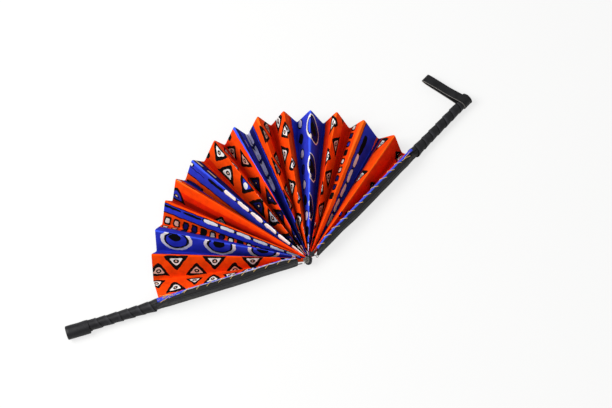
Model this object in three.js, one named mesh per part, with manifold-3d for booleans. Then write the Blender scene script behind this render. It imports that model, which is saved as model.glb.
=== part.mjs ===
// A round hand fan: a pleated cloth leaf between two leather-covered sticks, laced together at the pivot.
// Millimetres, +Z up. The origin is the foot of the lashing at the pivot, on the surface the fan lies on,
// and +Y runs along the middle of the leaf, which stands about five twelfths open.
import * as THREE from "three";
import { mergeVertices } from "three/addons/utils/BufferGeometryUtils.js";
import Module from "manifold-3d";

const wasm = await Module();
wasm.setup();

// Clearances
const fit = 0.3; // between pieces that touch
const overrun = 2; // how far a cut runs past the face it opens

// Leaf
const leafRadius = 165;
const gatherRadius = 6.5; // where the lashing holds the folds
const clothThickness = 0.7;
const gatheredThickness = 0.36; // one layer of a fold squeezed by the lashing
const foldGap = 0.12; // half the gap between neighbouring folds
const ridgeHeight = 33;
const gatheredTop = 13;
const gatheredBottom = 3.5;
const hemWidth = 3.6; // leaf edge turned over the top of a stick
const ridgeGaps = [10.9, 10.8, 9.4, 9.6, 11.6, 9.3, 9.8, 10.1, 10.3, 10.1, 10.8, 13.2]; // degrees, from the left
const pleatCount = ridgeGaps.length + 1;

// Sticks: a flat slat in a leather cover, drawn in to a round handle with a leather strip wound on it
const coverHeight = 20;
const coverThickness = 5;
const coverWall = 0.9;
const coverEnd = 170; // where the cover meets the wound handle, from the pivot
const coverShoulder = 12; // length over which the cover slopes down to the handle
const coverBevel = 0.8;
const coverNose = 1.6; // rounding of the inner end
const fanLength = 262; // pivot to the end of a handle
const coreRadius = 3.4;
const handleAxisHeight = 7.2;
const wrapRadius = 5.75;
const wrapSwell = 0.45; // the handle is this much thicker where it leaves the cover
const wrapPitch = 12.5; // width shown by each turn of the strip
const wrapStep = 0.65; // thickness of the edge that lies over the next turn
const wrapEndInset = 1.6; // the wound strip stops this far short of the end
const lacingHoleRadius = 1.3;
const lacingHoleHeight = 14;
const lacingHoleInset = 3.4; // from the inner end of the cover
const noseLength = 16; // the cover's inner end is solid leather, thinned on the leaf's side
const noseThickness = 1.8;

// Leather at the handle ends
const endBandLength = 24;
const endBandWall = 1.05;
const endCapLength = 2.6;
const loopWidth = 9;
const loopReach = 52; // handle axis to the tip of the loop
const loopThickness = 1.3;
const loopGap = 5.4; // between the two layers of the loop

// Lashing at the pivot
const lashingHeight = 12;
const windingTurns = 5;
const windingThread = 0.75; // radius of the thick thread wound round the lashing's core
const windingGap = 0.45; // between two turns
const windingBed = 0.25; // depth to which the turns bed into the core
const knotRadius = 3.1;
const threadRadius = 0.6;

// Each side: the angle from the stick to the first ridge and from that ridge to the crease beside the stick,
// where the stick's inner face passes the pivot (negative on the leaf's side), where its cover and the
// hem of the leaf start, and where its knot lies.
const sides = [
  {
    name: "left",
    turn: 1,
    endAngle: 16.8,
    creaseAngle: 6.2,
    offset: -3.7,
    start: 12,
    hemStart: 20,
    knotReach: 5.2,
    knotAngle: 27,
  },
  {
    name: "right",
    turn: -1,
    endAngle: 7.9,
    creaseAngle: 4.1,
    offset: -1.3,
    start: 12,
    hemStart: 38,
    knotReach: 4.2,
    knotAngle: -7,
  },
];
const leafAngle = ridgeGaps.reduce((sum, gap) => sum + gap, 0);
const openAngle = sides[0].endAngle + leafAngle + sides[1].endAngle;

// Finishes
const leather = new THREE.MeshStandardMaterial({ color: 0x1e1e20, roughness: 0.6 });
const wood = new THREE.MeshStandardMaterial({ color: 0xb98b5a, roughness: 0.7 });
const thread = new THREE.MeshStandardMaterial({ color: 0x26262b, roughness: 0.9 });
const orangeCloth = new THREE.MeshStandardMaterial({ color: 0xf2460f, roughness: 0.85 });
const blueCloth = new THREE.MeshStandardMaterial({ color: 0x2c38c8, roughness: 0.85 });

const radians = THREE.MathUtils.degToRad;

// Closed solid from rings of points, each ring closed on itself and as long as the next. The last ring
// joins the first when the skin is a torus, otherwise strips across the end rings close it. The two halves
// of a ring are the upper and under side of a sheet, and split their quads along the same diagonal.
function skin(rings, torus = false) {
  const count = rings[0].length;
  const index = [];
  const quad = (a, b, c, d) => index.push(a, b, c, a, c, d);
  const spans = torus ? rings.length : rings.length - 1;
  for (let r = 0; r < spans; r++) {
    const here = r * count;
    const next = ((r + 1) % rings.length) * count;
    for (let i = 0; i < count; i++) {
      const j = (i + 1) % count;
      if (i < count / 2) quad(here + i, here + j, next + j, next + i);
      else quad(here + j, next + j, next + i, here + i);
    }
  }
  if (!torus) {
    const last = (rings.length - 1) * count;
    for (let i = 0; i < count / 2 - 1; i++) {
      const [a, b, c, d] = [i, i + 1, count - 2 - i, count - 1 - i];
      quad(d, c, b, a);
      quad(last + a, last + b, last + c, last + d);
    }
  }
  const geometry = new THREE.BufferGeometry().setFromPoints(rings.flat());
  geometry.setIndex(index);
  return facingOut(geometry);
}

// Reverses the triangles of a closed geometry whose faces point inwards.
function facingOut(geometry) {
  const points = geometry.getAttribute("position");
  const index = geometry.getIndex();
  const [a, b, c] = [new THREE.Vector3(), new THREE.Vector3(), new THREE.Vector3()];
  let volume = 0;
  for (let i = 0; i < index.count; i += 3) {
    a.fromBufferAttribute(points, index.getX(i));
    b.fromBufferAttribute(points, index.getX(i + 1));
    c.fromBufferAttribute(points, index.getX(i + 2));
    volume += a.dot(b.cross(c));
  }
  if (volume < 0) geometry.setIndex([...index.array].reverse());
  return geometry;
}

function toSolid(geometry) {
  const bare = geometry.clone().deleteAttribute("normal").deleteAttribute("uv");
  const merged = mergeVertices(bare);
  return new wasm.Manifold(
    new wasm.Mesh({
      numProp: 3,
      vertProperties: merged.getAttribute("position").array,
      triVerts: new Uint32Array(merged.getIndex().array),
    }),
  );
}

function toGeometry(solid) {
  const mesh = solid.getMesh();
  const geometry = new THREE.BufferGeometry();
  geometry.setAttribute("position", new THREE.BufferAttribute(mesh.vertProperties, 3));
  geometry.setIndex(new THREE.BufferAttribute(mesh.triVerts, 1));
  return geometry;
}

function named(name, geometry, material) {
  const mesh = new THREE.Mesh(geometry, material);
  mesh.name = name;
  return mesh;
}

// Lathe about a stick's own length: the profile holds [along, radius] pairs, first and last alike for a ring.
function turned(profile, segments) {
  const points = profile.map(([along, radius]) => new THREE.Vector2(radius, along));
  return facingOut(new THREE.LatheGeometry(points, segments).rotateZ(-Math.PI / 2));
}

// One pleat: two panels leaning on each other, ridge up, from the lashing to the rim. Its ridge runs along +X,
// and leftAngle and rightAngle are the angles from the ridge to the creases on either side.
function pleat(leftAngle, rightAngle) {
  const station = (radius, bottom, top, thickness) => {
    const height = top - bottom;
    const left = radius * Math.tan(radians(leftAngle)) - foldGap;
    const right = radius * Math.tan(radians(rightAngle)) - foldGap;
    const across = (half) => (thickness * Math.hypot(half, height)) / height;
    const drop = (thickness * Math.hypot((left + right) / 2, height) * 2) / (left + right);
    return [
      new THREE.Vector3(radius, left, bottom),
      new THREE.Vector3(radius, 0, top),
      new THREE.Vector3(radius, -right, bottom),
      new THREE.Vector3(radius, across(right) - right, bottom),
      new THREE.Vector3(radius, 0, top - drop),
      new THREE.Vector3(radius, left - across(left), bottom),
    ];
  };
  return skin([
    station(gatherRadius, gatheredBottom, gatheredTop, gatheredThickness),
    station(leafRadius, fit, ridgeHeight, clothThickness),
  ]);
}

// The last panel of the leaf beside a stick, in the stick's own frame: a hem over the stick's top edge,
// then the panel down to the crease.
function endPanel(side) {
  const creaseTurn = radians(side.creaseAngle - side.endAngle);
  const station = (radius, along, bottom, thickness) => {
    const crease = new THREE.Vector3(radius * Math.cos(creaseTurn), radius * Math.sin(creaseTurn), bottom);
    crease.y += foldGap;
    const hemTop = coverHeight + fit + thickness;
    const edge = new THREE.Vector3(along, side.offset - fit - thickness, hemTop);
    const fall = edge.clone().sub(crease);
    const lean = thickness * (Math.hypot(fall.y, fall.z) / Math.abs(fall.z));
    return [
      new THREE.Vector3(along, side.offset + hemWidth, hemTop),
      edge,
      crease,
      crease.clone().add(new THREE.Vector3(0, lean, 0)),
      new THREE.Vector3(along, side.offset - fit, hemTop - thickness),
      new THREE.Vector3(along, side.offset + hemWidth, hemTop - thickness),
    ];
  };
  const outer = coverEnd - coverShoulder;
  return skin([
    station(side.hemStart, side.hemStart, gatheredBottom, gatheredThickness),
    station(leafRadius, outer, fit, clothThickness),
  ]);
}

// Side outline of a slat or its cover: full height from its start, then a slope down to the handle.
function stickOutline(start, end, bottom, top, handleBottom, handleTop, nose) {
  const shape = new THREE.Shape();
  shape.moveTo(start + nose, bottom);
  shape.lineTo(end - coverShoulder, bottom);
  shape.lineTo(end, handleBottom);
  shape.lineTo(end, handleTop);
  shape.lineTo(end - coverShoulder, top);
  shape.lineTo(start + nose, top);
  shape.quadraticCurveTo(start, top, start, top - nose);
  shape.lineTo(start, bottom + nose);
  shape.quadraticCurveTo(start, bottom, start + nose, bottom);
  return shape;
}

// A side outline given its thickness, its inner face at y = inner and its outer face further from the leaf.
function board(shape, inner, thickness, bevel) {
  const geometry = new THREE.ExtrudeGeometry(shape, {
    depth: thickness - 2 * bevel,
    bevelEnabled: bevel > 0,
    bevelThickness: bevel,
    bevelSize: bevel,
    bevelOffset: -bevel,
    bevelSegments: 1,
    curveSegments: 4,
  });
  return geometry.rotateX(Math.PI / 2).translate(0, inner + thickness - bevel, 0);
}

function lacingHole(side) {
  const length = coverThickness + 2 * overrun;
  const along = side.start + lacingHoleInset;
  return toSolid(
    new THREE.CylinderGeometry(lacingHoleRadius, lacingHoleRadius, length, 12).translate(
      along,
      side.offset + coverThickness / 2,
      lacingHoleHeight,
    ),
  );
}

const slatInset = coverWall + fit;
const slatThickness = coverThickness - 2 * slatInset;

function slatOutline(side, grow) {
  const inset = slatInset - grow;
  return stickOutline(
    side.start + noseLength + inset,
    coverEnd,
    inset,
    coverHeight - inset,
    handleAxisHeight - coreRadius - grow,
    handleAxisHeight + coreRadius + grow,
    coverNose,
  );
}

// Wooden stick: the slat and the round core of the handle in one piece.
function stick(side) {
  const slat = toSolid(board(slatOutline(side, 0), side.offset + slatInset, slatThickness, 0));
  const coreLength = fanLength - wrapEndInset - fit - coverEnd;
  const core = toSolid(
    new THREE.CylinderGeometry(coreRadius, coreRadius, coreLength, 16)
      .rotateZ(Math.PI / 2)
      .translate(coverEnd + coreLength / 2, side.offset + coverThickness / 2, handleAxisHeight),
  );
  const neckLength = slatThickness * 2;
  const neck = toSolid(
    new THREE.BoxGeometry(neckLength, slatThickness, 2 * coreRadius - fit).translate(
      coverEnd,
      side.offset + coverThickness / 2,
      handleAxisHeight,
    ),
  );
  return toGeometry(slat.add(core).add(neck));
}

// Leather folded round the slat and glued, open only towards the handle.
function cover(side) {
  const outline = stickOutline(
    side.start,
    coverEnd - fit,
    0,
    coverHeight,
    handleAxisHeight - wrapRadius,
    handleAxisHeight + wrapRadius,
    coverNose,
  );
  const shell = toSolid(board(outline, side.offset, coverThickness, coverBevel));
  const slot = toSolid(
    board(slatOutline(side, fit), side.offset + coverWall, coverThickness - 2 * coverWall, 0),
  );
  const mouth = toSolid(
    new THREE.BoxGeometry(overrun * 2, coverThickness - 2 * coverWall, 2 * (coreRadius + fit)).translate(
      coverEnd,
      side.offset + coverThickness / 2,
      handleAxisHeight,
    ),
  );
  return toGeometry(shell.subtract(slot).subtract(mouth).subtract(noseCut(side)).subtract(lacingHole(side)));
}

// Wedge cut from the leaf's side of the cover, which thins the leather nose towards the pivot.
function noseCut(side) {
  const slope = (coverThickness - noseThickness) / noseLength;
  const wedge = new THREE.Shape();
  wedge.moveTo(side.start + noseLength, side.offset);
  wedge.lineTo(side.start - overrun, side.offset + slope * (noseLength + overrun));
  wedge.lineTo(side.start - overrun, side.offset - overrun);
  wedge.lineTo(side.start + noseLength, side.offset - overrun);
  const cut = new THREE.ExtrudeGeometry(wedge, { depth: coverHeight + 2 * overrun, bevelEnabled: false });
  return toSolid(cut.translate(0, 0, -overrun));
}

// Leather strip wound on the handle: a sleeve whose surface drops by a step at each edge of the strip.
function handleWrap(side, end) {
  const start = coverEnd + fit;
  const around = 18;
  const perTurn = 7;
  const ringCount = Math.round(((end - start) / wrapPitch) * perTurn);
  const axis = new THREE.Vector3(0, side.offset + coverThickness / 2, handleAxisHeight);
  const ring = (along, radiusAt) =>
    Array.from({ length: around }, (_, i) => {
      const angle = (i / around) * 2 * Math.PI;
      const radius = radiusAt(angle);
      return new THREE.Vector3(along, radius * Math.cos(angle), radius * Math.sin(angle)).add(axis);
    });
  const rings = [];
  for (let r = 0; r <= ringCount; r++) {
    const along = start + ((end - start) * r) / ringCount;
    const swell = wrapSwell * Math.exp(-(along - start) / wrapPitch);
    rings.push(
      ring(along, (angle) => {
        const turns = (along - start) / wrapPitch + angle / (2 * Math.PI);
        return wrapRadius + swell - wrapStep * (turns - Math.floor(turns));
      }),
    );
  }
  const bore = () => coreRadius + fit;
  rings.push(ring(end, bore), ring(start, bore));
  return skin(rings, true);
}

// Leather band closed over the end of a handle.
function endBand(side, length, outerRadius) {
  const start = fanLength - length;
  const bore = outerRadius - endBandWall;
  const floor = fanLength - wrapEndInset + fit;
  const edge = endBandWall / 3;
  const profile = [
    [floor, 0],
    [floor, bore],
    [start, bore],
    [start, outerRadius - edge],
    [start + edge, outerRadius],
    [fanLength - edge, outerRadius],
    [fanLength, outerRadius - edge],
    [fanLength, 0],
  ];
  return turned(profile, 24).translate(0, side.offset + coverThickness / 2, handleAxisHeight);
}

// Closure loop: one leather strap round the handle end, its two layers drawn out flat towards the leaf.
function closureLoop(side) {
  const bandEnd = fanLength - endCapLength - fit;
  const bore = wrapRadius + fit;
  const wall = handleAxisHeight - bore;
  const half = loopGap / 2;
  const centre = handleAxisHeight - half / 3;
  const join = bore + wall;
  const outline = (grow) => {
    const path = grow ? new THREE.Shape() : new THREE.Path();
    const reach = -loopReach + loopThickness - grow;
    path.moveTo(-join, centre - half - grow);
    path.lineTo(reach + half + grow, centre - half - grow);
    path.quadraticCurveTo(reach, centre - half - grow, reach, centre);
    path.quadraticCurveTo(reach, centre + half + grow, reach + half + grow, centre + half + grow);
    path.lineTo(-join, centre + half + grow);
    if (grow) path.lineTo(0, centre + half + grow);
    if (grow) path.lineTo(0, centre - half - grow);
    path.closePath();
    return path;
  };
  const extrude = (shape) =>
    new THREE.ExtrudeGeometry(shape, { depth: loopWidth, bevelEnabled: false, curveSegments: 6 });
  const strap = outline(loopThickness);
  const ring = new THREE.Shape().absarc(0, handleAxisHeight, join, 0, 2 * Math.PI);
  const hole = new THREE.Shape().absarc(0, handleAxisHeight, bore, 0, 2 * Math.PI);
  const slit = new THREE.Shape(outline(0).getPoints(6));
  const solid = toSolid(extrude(strap))
    .add(toSolid(extrude(ring)))
    .subtract(toSolid(extrude(slit).translate(0, 0, -overrun).scale(1, 1, 2)))
    .subtract(toSolid(extrude(hole).translate(0, 0, -overrun).scale(1, 1, 2)));
  const geometry = toGeometry(solid);
  const lay = new THREE.Matrix4().set(0, 0, 1, 0, 1, 0, 0, 0, 0, 1, 0, 0, 0, 0, 0, 1);
  geometry.applyMatrix4(lay);
  return geometry.translate(bandEnd - loopWidth, side.offset + coverThickness / 2, 0);
}

const windingPitch = 2 * windingThread + windingGap;
const windingRadius = gatherRadius - fit - windingThread;
const stepsPerTurn = 24;

// Centre line of the thread wound on the lashing, which dives into the core at both ends.
function windingRoute() {
  const steps = windingTurns * stepsPerTurn;
  const start = (lashingHeight - windingTurns * windingPitch) / 2;
  const diveSteps = 3;
  return Array.from({ length: steps + 1 }, (_, i) => {
    const angle = (i / stepsPerTurn) * 2 * Math.PI;
    const dive = Math.max(0, 1 - Math.min(i, steps - i) / diveSteps) * 2 * windingThread;
    const reach = windingRadius - dive;
    return new THREE.Vector3(
      reach * Math.cos(angle),
      reach * Math.sin(angle),
      start + (i / stepsPerTurn) * windingPitch,
    );
  });
}

// Least gap between turns of a thread, measured on the points of its centre line.
function leastGap(route, diameter) {
  let least = Infinity;
  for (let i = 0; i < route.length; i++) {
    for (let j = i + stepsPerTurn / 2; j < route.length; j++) {
      least = Math.min(least, route[i].distanceTo(route[j]));
    }
  }
  return least - diameter;
}

// Thread wound upright through the gathered folds: a plain core, flat where it rests, and one unbroken
// thread round it.
function lashing() {
  const route = windingRoute();
  console.log("lashing: least gap between turns " + leastGap(route, 2 * windingThread).toFixed(2) + " mm");
  const sides = 6;
  const rings = route.map((centre) => {
    const out = new THREE.Vector3(centre.x, centre.y, 0).normalize();
    return Array.from({ length: sides }, (_, i) => {
      const angle = (i / sides) * 2 * Math.PI;
      const point = centre.clone().addScaledVector(out, windingThread * Math.cos(angle));
      point.z += windingThread * Math.sin(angle);
      return point;
    });
  });
  const radius = windingRadius - windingThread + windingBed;
  const rim = windingThread;
  const profile = [
    [0, 0],
    [radius, 0],
    [radius, lashingHeight - rim],
    [radius - rim, lashingHeight],
    [0, lashingHeight],
  ];
  const core = new THREE.LatheGeometry(
    profile.map(([across, up]) => new THREE.Vector2(across, up)),
    stepsPerTurn,
  );
  return toGeometry(toSolid(core.rotateX(Math.PI / 2)).add(toSolid(skin(rings))));
}

const knotThread = knotRadius / 5;

// A thread knot on top of the lashing: a trefoil drawn tight.
function knot() {
  const [along, across] = [72, 6];
  const loopRadius = (knotRadius - knotThread) / 1.5;
  return new THREE.TorusKnotGeometry(loopRadius, knotThread, along, across, 2, 3);
}

// Thread drawn from a knot through the lacing hole of its stick, in the stick's own frame.
function lacingThread(side) {
  const angle = radians(side.knotAngle);
  const clear = 1.5 * threadRadius + fit;
  const hole = side.start + lacingHoleInset;
  const inner = side.offset + (coverThickness - noseThickness) * (1 - lacingHoleInset / noseLength) - clear;
  const outer = side.offset + coverThickness + clear;
  const [mouth, exit] = side.knotAngle > 0 ? [outer, inner] : [inner, outer];
  const from = new THREE.Vector3(side.knotReach + knotRadius + threadRadius + fit, 0, lacingHoleHeight);
  const points = [
    from.applyAxisAngle(new THREE.Vector3(0, 0, 1), angle),
    new THREE.Vector3(hole - threadRadius, mouth, lacingHoleHeight),
    new THREE.Vector3(hole, exit, lacingHoleHeight),
  ];
  const route = new THREE.CatmullRomCurve3(points, false, "centripetal");
  const section = new THREE.Shape().absarc(0, 0, threadRadius, 0, 2 * Math.PI);
  return new THREE.ExtrudeGeometry(section, { steps: 14, extrudePath: route, curveSegments: 4 });
}

const fan = new THREE.Group();

for (const side of sides) {
  const group = new THREE.Group();
  group.rotation.z = radians(90 + (side.turn * openAngle) / 2);
  group.scale.y = side.turn;
  const { name } = side;
  group.add(named(name + "_stick", stick(side), wood));
  group.add(named(name + "_guard_cover", cover(side), leather));
  group.add(named(name + "_handle_wrap", handleWrap(side, fanLength - wrapEndInset), leather));
  group.add(named(name + "_end_panel", endPanel(side), orangeCloth));
  group.add(named(name + "_lacing_thread", lacingThread(side), thread));
  const knotMesh = named(name + "_knot", knot(), thread);
  const knotAngle = radians(side.knotAngle);
  knotMesh.position.set(
    side.knotReach * Math.cos(knotAngle),
    side.knotReach * Math.sin(knotAngle),
    lashingHeight + fit + knotThread + (knotRadius - knotThread) / 3,
  );
  group.add(knotMesh);
  if (side.turn > 0) {
    const bandRadius = wrapRadius + fit + endBandWall;
    group.add(named("left_end_band", endBand(side, endBandLength, bandRadius), leather));
  } else {
    group.add(named("right_end_cap", endBand(side, endCapLength, handleAxisHeight), leather));
    group.add(named("closure_loop", closureLoop(side), leather));
  }
  fan.add(group);
}

let ridgeTurn = 90 + openAngle / 2 - sides[0].endAngle;
for (let k = 0; k < pleatCount; k++) {
  const leftAngle = k === 0 ? sides[0].creaseAngle : ridgeGaps[k - 1] / 2;
  const rightAngle = k === pleatCount - 1 ? sides[1].creaseAngle : ridgeGaps[k] / 2;
  const label = "pleat_" + String(k + 1).padStart(2, "0");
  const mesh = named(label, pleat(leftAngle, rightAngle), k % 2 ? blueCloth : orangeCloth);
  mesh.rotation.z = radians(ridgeTurn);
  ridgeTurn -= ridgeGaps[k] ?? 0;
  fan.add(mesh);
}

fan.add(named("lashing", lashing(), thread));

export default fan;
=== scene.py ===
# Round hand fan: a pleated leaf of wax-printed cotton between two leather-covered sticks.
import math
import random

import bmesh
import bpy
from mathutils import Matrix, Vector, noise


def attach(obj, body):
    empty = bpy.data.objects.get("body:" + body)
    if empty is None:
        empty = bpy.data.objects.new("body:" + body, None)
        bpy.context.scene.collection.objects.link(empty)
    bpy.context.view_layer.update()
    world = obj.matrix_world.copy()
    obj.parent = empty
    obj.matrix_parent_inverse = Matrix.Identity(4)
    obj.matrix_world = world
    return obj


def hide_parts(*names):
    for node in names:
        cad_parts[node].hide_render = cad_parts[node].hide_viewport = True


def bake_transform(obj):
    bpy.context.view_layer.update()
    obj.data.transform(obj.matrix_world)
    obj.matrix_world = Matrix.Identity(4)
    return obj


mm = 0.001

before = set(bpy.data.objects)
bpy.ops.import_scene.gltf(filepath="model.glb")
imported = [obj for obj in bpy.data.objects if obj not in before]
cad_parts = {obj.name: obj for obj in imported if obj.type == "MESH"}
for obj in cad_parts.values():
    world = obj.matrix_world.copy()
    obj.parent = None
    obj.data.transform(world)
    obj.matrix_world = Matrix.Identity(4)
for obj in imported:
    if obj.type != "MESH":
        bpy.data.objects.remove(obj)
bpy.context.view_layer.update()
print("frame loaded:", len(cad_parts), "nodes")


def linear(hexColour):
    # sRGB hex to the linear values that Blender's sockets hold
    channels = [int(hexColour[i : i + 2], 16) / 255 for i in (0, 2, 4)]
    return [c / 12.92 if c <= 0.04045 else ((c + 0.055) / 1.055) ** 2.4 for c in channels] + [1.0]


def connect(node, links):
    # each socket gets a node's first output, the output given, or a plain value
    for socket, source in links.items():
        if isinstance(source, bpy.types.Node):
            source = source.outputs[0]
        if isinstance(source, bpy.types.NodeSocket):
            node.id_data.links.new(source, node.inputs[socket])
        else:
            node.inputs[socket].default_value = source


def addNode(tree, kind, links=None, **settings):
    node = tree.nodes.new("ShaderNode" + kind)
    for key, value in settings.items():
        setattr(node, key, value)
    connect(node, links or {})
    return node


def newMaterial(name):
    material = bpy.data.materials.new(name)
    material.use_nodes = True
    tree = material.node_tree
    tree.nodes.clear()
    shader = addNode(tree, "BsdfPrincipled")
    addNode(tree, "OutputMaterial", {"Surface": shader})
    return material, tree, shader


def setStops(ramp, stops):
    # stops are {position: linear colour}; the ramp switches sharply from one to the next
    ramp.color_ramp.interpolation = "CONSTANT"
    elements = ramp.color_ramp.elements
    while len(elements) > 1:
        elements.remove(elements[-1])
    for i, (position, colour) in enumerate(stops.items()):
        element = elements.new(position) if i else elements[0]
        element.position = position
        element.color = colour


def addObject(name, data):
    thing = bpy.data.objects.new(name, data)
    bpy.context.scene.collection.objects.link(thing)
    return thing


def newPiece(name, bm, materials, smooth=True):
    mesh = bpy.data.meshes.new(name)
    bm.to_mesh(mesh)
    bm.free()
    for material in materials:
        mesh.materials.append(material)
    for polygon in mesh.polygons:
        polygon.use_smooth = smooth
    return addObject(name, mesh)


# Camera
cameraSettings = {"place": (-265.2, -411.3, 1487.4), "target": (33.6, 57.7, 0), "lens": 85.3, "sensor": 36}
cameraData = bpy.data.cameras.new("camera")
cameraData.lens = cameraSettings["lens"]
cameraData.sensor_width = cameraSettings["sensor"]
cameraData.clip_end = 20
camera = addObject("camera", cameraData)
camera.location = Vector(cameraSettings["place"]) * mm
aim = (Vector(cameraSettings["target"]) - Vector(cameraSettings["place"])) * mm
camera.rotation_euler = aim.to_track_quat("-Z", "Y").to_euler()
bpy.context.scene.camera = camera

# Leaf, in mm and degrees
leaf = {
    "gatherRadius": 4.1,
    "rimRadius": 165,
    "ridgeHeights": (13, 33),  # at the gathered ring and at the rim
    "valleyHeights": (3.5, 0.3),
    "ridgeGaps": [10.9, 10.8, 9.4, 9.6, 11.6, 9.3, 9.8, 10.1, 10.3, 10.1, 10.8, 13.2],
    "thickness": 0.36,
    "acrossStops": [0, 0.03, 0.08, 0.16, 0.28, 0.42, 0.58, 0.72, 0.84, 0.92, 0.97, 1],
    "alongSteps": 44,
    "foldRounding": 0.07,
    "bulge": 1.1,
    "ripple": 0.78,
    "rimWander": 1.2,
    "secondLean": 1.3,  # the second ridge has sunk towards the first
    "firstReach": 2.8,  # the first crease stands out further at the rim
    "hemInset": 0.5,
    "hemLift": 0.3,
    "seed": 11,
}
sides = {
    "left": {"turn": 1, "endAngle": 16.8, "creaseAngle": 6.2, "offset": -3.7, "hemAlong": (15, 165)},
    "right": {"turn": -1, "endAngle": 7.9, "creaseAngle": 4.1, "offset": -1.3, "hemAlong": (17, 158)},
}
coverHeight = 20
coverThickness = 5
nose = {"start": 12, "length": 16, "thickness": 2.8}  # the guards thin down towards the pivot
openAngle = sides["left"]["endAngle"] + sum(leaf["ridgeGaps"]) + sides["right"]["endAngle"]
pleatCount = len(leaf["ridgeGaps"]) + 1
panelCount = 2 * pleatCount + 2


def stickAngle(side):
    return math.radians(90 + side["turn"] * openAngle / 2)


def noseShift(along):
    # how far the guard's leaf side has moved outward where it thins
    reach = max(0, nose["start"] + nose["length"] - along) / nose["length"]
    return (coverThickness - nose["thickness"]) * reach


def fromStick(side, along, outward, up):
    # a point given along a stick, outward from the leaf and up, in mm of the fan's own frame
    angle = stickAngle(side)
    x = along * math.cos(angle) - side["turn"] * outward * math.sin(angle)
    y = along * math.sin(angle) + side["turn"] * outward * math.cos(angle)
    return Vector((x, y, up))


# Lines of the leaf from left to right: hem, crease, then ridges and valleys in turn, crease, hem
ridgeAngle = 90 + openAngle / 2 - sides["left"]["endAngle"]
lineAngles = [None, ridgeAngle + sides["left"]["creaseAngle"], ridgeAngle]
for gap in leaf["ridgeGaps"]:
    lineAngles += [ridgeAngle - gap / 2, ridgeAngle - gap]
    ridgeAngle -= gap
lineAngles += [ridgeAngle - sides["right"]["creaseAngle"], None]
lineAngles[4] += leaf["secondLean"]
rimRandom = random.Random(leaf["seed"])
rimOffsets = [rimRandom.uniform(-1, 1) * leaf["rimWander"] for _ in lineAngles]
rimOffsets[1] += leaf["firstReach"]
bulges = [rimRandom.uniform(-0.55, 1) * leaf["bulge"] for _ in range(panelCount)]


def linePoint(line, share):
    # share 0 at the gathered inner edge, 1 at the rim
    if lineAngles[line] is None:
        side = sides["left"] if line == 0 else sides["right"]
        start, end = side["hemAlong"]
        along = start + (end - start) * share
        outward = side["offset"] - leaf["hemInset"] + noseShift(along)
        return fromStick(side, along, outward, coverHeight + leaf["hemLift"])
    inner, outer = leaf["gatherRadius"], leaf["rimRadius"] + rimOffsets[line]
    radius = inner + (outer - inner) * share
    start, end = leaf["valleyHeights" if line % 2 else "ridgeHeights"]
    angle = math.radians(lineAngles[line])
    return Vector((radius * math.cos(angle), radius * math.sin(angle), start + (end - start) * share))


def foldShare(share):
    # height share across a panel, level at both folds
    rounding = leaf["foldRounding"]
    whole = math.hypot(1, rounding) - rounding
    raw = math.hypot(share, rounding) - math.hypot(1 - share, rounding) - share + whole
    return raw / (2 * whole - 1)


def leafPoint(across, share):
    # across runs from 0 at the left hem to 28 at the right one, a whole number at each fold
    panel = min(int(across), panelCount - 1)
    part = across - panel
    a, b = linePoint(panel, share), linePoint(panel + 1, share)
    point = a.lerp(b, part)
    point.z = a.z + (b.z - a.z) * foldShare(part)
    slope = (b - a).cross(Vector((point.x, point.y, 0))).normalized()
    if slope.z < 0:
        slope.negate()
    body = math.sin(math.pi * part) * math.sin(math.pi * min(1, 0.15 + 0.85 * share)) ** 0.6
    ripple = noise.noise(Vector((across * 1.7, share * 3.1, 4.2))) * leaf["ripple"]
    return point + slope * (bulges[panel] + ripple) * body


# Printed cotton of the leaf. Distances in a face's print are mm from its ridge, and from the rim.
printColours = {
    "orange": "FF4A05",
    # lighter orange: a painted highlight, used as the band along a ridge
    "orangeRidgeHighlight": "FF6617",
    # orange darkened as painted shade, for the bands deeper down a fold, and darker still near one valley
    "red": "EE2C05",
    "deepShadedOrange": "B01A06",
    "blue": "2D3ACB",
    # brighter blue: a painted highlight, used as the band along a ridge
    "blueRidgeHighlight": "3E5AF0",
    # a dark navy of the print; as a ground band in faces 10, 14, 15 and 25 it is painted shade
    "darkBlue": "17186A",
    "black": "0D0B0C",
    "white": "F8F5F2",
    "pink": "EABFAE",
    "grey": "BCB6BE",
    "cream": "F5E4BC",
    "lilac": "DAD8F8",
}
printWidth = 80  # mm covered by the ramp of bands
single = 400  # a pitch that leaves one motif in the row
dotShape = {"across": 0.13, "along": 0.22, "middle": 0.4}  # shares of the triangle, then of the dot
corners = {"point": 0.6, "base": 0.3}  # how round the triangles' corners are
rowStart = {"point": 1, "drift": 0, "lean": 0, "first": None, "last": None, "dot": None}


def triangles(at, phase, point, fills="white", pitch=40.3, across=22, along=12.3, line=0.55, **more):
    # at is the centroid and along half the base; point 1 aims at the valley and -1 at the ridge
    sizes = {"at": at, "phase": phase, "point": point, "pitch": pitch, "across": across, "along": along}
    look = {"kind": "triangle", "fills": fills, "rings": {0: None, line: "black"}, "dot": "pink"}
    return rowStart | sizes | look | more


def windows(at, phase, pitch, across, along, fills, kind="block", line=0.72, **more):
    # outlined blocks or rounds: across and along are half sizes
    sizes = {"at": at, "phase": phase, "pitch": pitch, "across": across, "along": along}
    return rowStart | sizes | {"kind": kind, "fills": fills, "rings": {0: None, line: "black"}} | more


def dotIn(row):
    # the ring with a paler middle inside each triangle of a row
    across, along = dotShape["across"] * row["across"], dotShape["along"] * row["along"]
    rings = {0: row["dot"], dotShape["middle"]: "black"}
    return row | {"kind": "round", "across": across, "along": along, "fills": None, "rings": rings}


def face(bands, *rows, drift=0, shade=None):
    # bands of ground colour from the ridge down, some of them painted highlight and painted shade, then the
    # rows of motifs over them
    return {"bands": bands, "rows": rows, "drift": drift, "shade": shade}


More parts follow.
